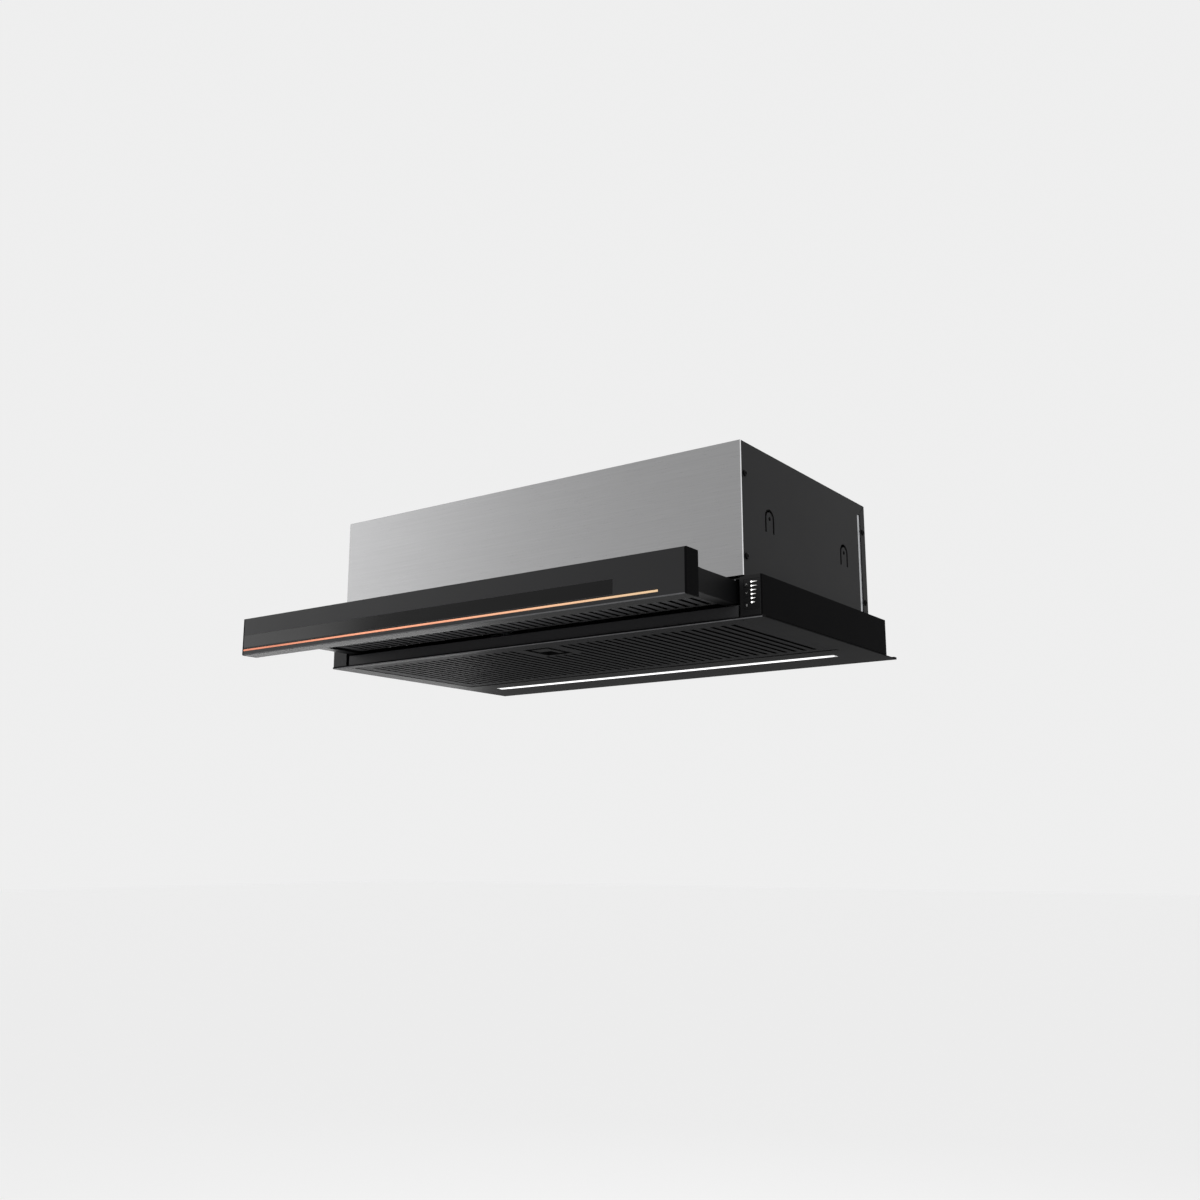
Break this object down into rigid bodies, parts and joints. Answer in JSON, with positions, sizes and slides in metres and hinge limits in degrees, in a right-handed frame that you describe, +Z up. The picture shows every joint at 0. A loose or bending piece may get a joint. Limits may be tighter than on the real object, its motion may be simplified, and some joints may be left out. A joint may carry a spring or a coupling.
{
  "type": "telescopic range hood",
  "caption": "Slide-out cooker hood for a 60 cm wall cabinet: steel motor box, black base with slotted filter and light bar, slotted drawer with a handle front.",
  "frame": {"origin": "middle of the whole hood with its drawer out, level with the drawer front's lower edge", "axes": "+X to the right seen from the front, +Y back to the wall, +Z up along the duct spigot"},
  "size_m": [0.598, 0.4696, 0.2152],
  "materials": {
    "brushed_steel": "fine horizontal brushing",
    "dark_panel": "satin dark grey coat",
    "black_steel": "satin black coat",
    "drawer_black": "satin anthracite coat",
    "black_moulding": "fine-grained black",
    "grey_moulding": "plain light grey",
    "gloss_black": "gloss black",
    "copper": "satin copper colour",
    "zinc": "bare galvanised sheet",
    "bright_steel": "bright steel",
    "motor_steel": "pressed steel can",
    "aluminium": "satin",
    "opal": "opal white, lit from behind",
    "circuit_board": "green board",
    "black_screws": "black oxide"
  },
  "bodies": {
    "hood": {"bottom_plate": "black_steel", "front_sill": "black_steel", "right_side_moulding": "black_moulding", "left_side_moulding": "black_moulding", "rear_wall": "black_steel", "steel_front": "brushed_steel", "right_side_panel": "dark_panel", "left_side_panel": "dark_panel", "right_corner_strip": "zinc", "left_corner_strip": "zinc", "rear_panel": "dark_panel", "top_panel": "dark_panel", "duct_collar": "black_moulding", "flap_pin": "bright_steel", "blower_housing_right": "black_moulding", "blower_housing_left": "black_moulding", "motor": "motor_steel", "motor_bracket": "zinc", "electronics_box": "grey_moulding", "electronics_lid": "grey_moulding", "cable_gland": "black_moulding", "led_diffuser": "opal", "led_channel": "aluminium", "led_board": "circuit_board", "control_fascia": "gloss_black", "light_bars": "opal", "control_board": "circuit_board", "slide_outer_right": "zinc", "slide_outer_left": "zinc", "drawer_switch": "grey_moulding", "case_screws": "black_screws"},
    "drawer": {"drawer_panel": "drawer_black", "gloss_band": "gloss_black", "copper_strip": "copper", "end_cap_right": "black_moulding", "end_cap_left": "black_moulding", "drawer_rail_right": "black_steel", "drawer_rail_left": "black_steel", "drawer_bracket_right": "black_steel", "drawer_bracket_left": "black_steel", "drawer_grille": "black_steel", "drawer_cover": "black_steel", "drawer_rear_bar": "black_steel", "slide_inner_right": "zinc", "slide_inner_left": "zinc"},
    "cage_right": {"ball_cage_right": "bright_steel"},
    "cage_left": {"ball_cage_left": "bright_steel"},
    "filter": {"filter_face": "black_steel", "filter_mesh": "aluminium", "filter_retainer": "aluminium", "latch_cup": "black_moulding"},
    "latch": {"filter_latch": "black_moulding"},
    "fan": {"impeller": "zinc", "fan_shaft": "bright_steel"},
    "left_flap": {"flap_left": "black_moulding"},
    "right_flap": {"flap_right": "black_moulding"},
    "key_up": {"button_up": "gloss_black"},
    "key_down": {"button_down": "gloss_black"},
    "key_lamp": {"button_lamp": "gloss_black"}
  },
  "joints": [
    {"name": "drawer_slide", "type": "slide", "parent": "hood", "child": "drawer", "axis": [0, 1, 0], "range_m": [0, 0.116]},
    {"name": "cage_right_slide", "type": "slide", "parent": "hood", "child": "cage_right", "axis": [0, 1, 0], "range_m": [0, 0.058]},
    {"name": "cage_left_slide", "type": "slide", "parent": "hood", "child": "cage_left", "axis": [0, 1, 0], "range_m": [0, 0.058]},
    {"name": "filter_swing", "type": "hinge", "parent": "hood", "child": "filter", "pos_m": [0, 0.13075, 0.0032], "axis": [1, 0, 0], "range_deg": [0, 35]},
    {"name": "latch_slide", "type": "slide", "parent": "filter", "child": "latch", "axis": [0, 1, 0], "range_m": [0, 0.006], "stiffness_N_per_m": 600, "springref_m": -0.003},
    {"name": "fan_spin", "type": "hinge", "parent": "hood", "child": "fan", "pos_m": [0, 0.00581, 0.1128], "axis": [1, 0, 0], "continuous": true},
    {"name": "left_flap_swing", "type": "hinge", "parent": "hood", "child": "left_flap", "pos_m": [0, 0.05325, 0.1892], "axis": [0, 1, 0], "range_deg": [0, 75]},
    {"name": "right_flap_swing", "type": "hinge", "parent": "hood", "child": "right_flap", "pos_m": [0, 0.05325, 0.1892], "axis": [0, -1, 0], "range_deg": [0, 75]},
    {"name": "key_up_press", "type": "slide", "parent": "hood", "child": "key_up", "axis": [0, 1, 0], "range_m": [0, 0.0006], "stiffness_N_per_m": 1500, "springref_m": -0.0006},
    {"name": "key_down_press", "type": "slide", "parent": "hood", "child": "key_down", "axis": [0, 1, 0], "range_m": [0, 0.0006], "stiffness_N_per_m": 1500, "springref_m": -0.0006},
    {"name": "key_lamp_press", "type": "slide", "parent": "hood", "child": "key_lamp", "axis": [0, 1, 0], "range_m": [0, 0.0006], "stiffness_N_per_m": 1500, "springref_m": -0.0006}
  ],
  "couplings": [
    {"joint": "cage_right_slide", "follows": "drawer_slide", "ratio": 0.5},
    {"joint": "cage_left_slide", "follows": "drawer_slide", "ratio": 0.5}
  ]
}
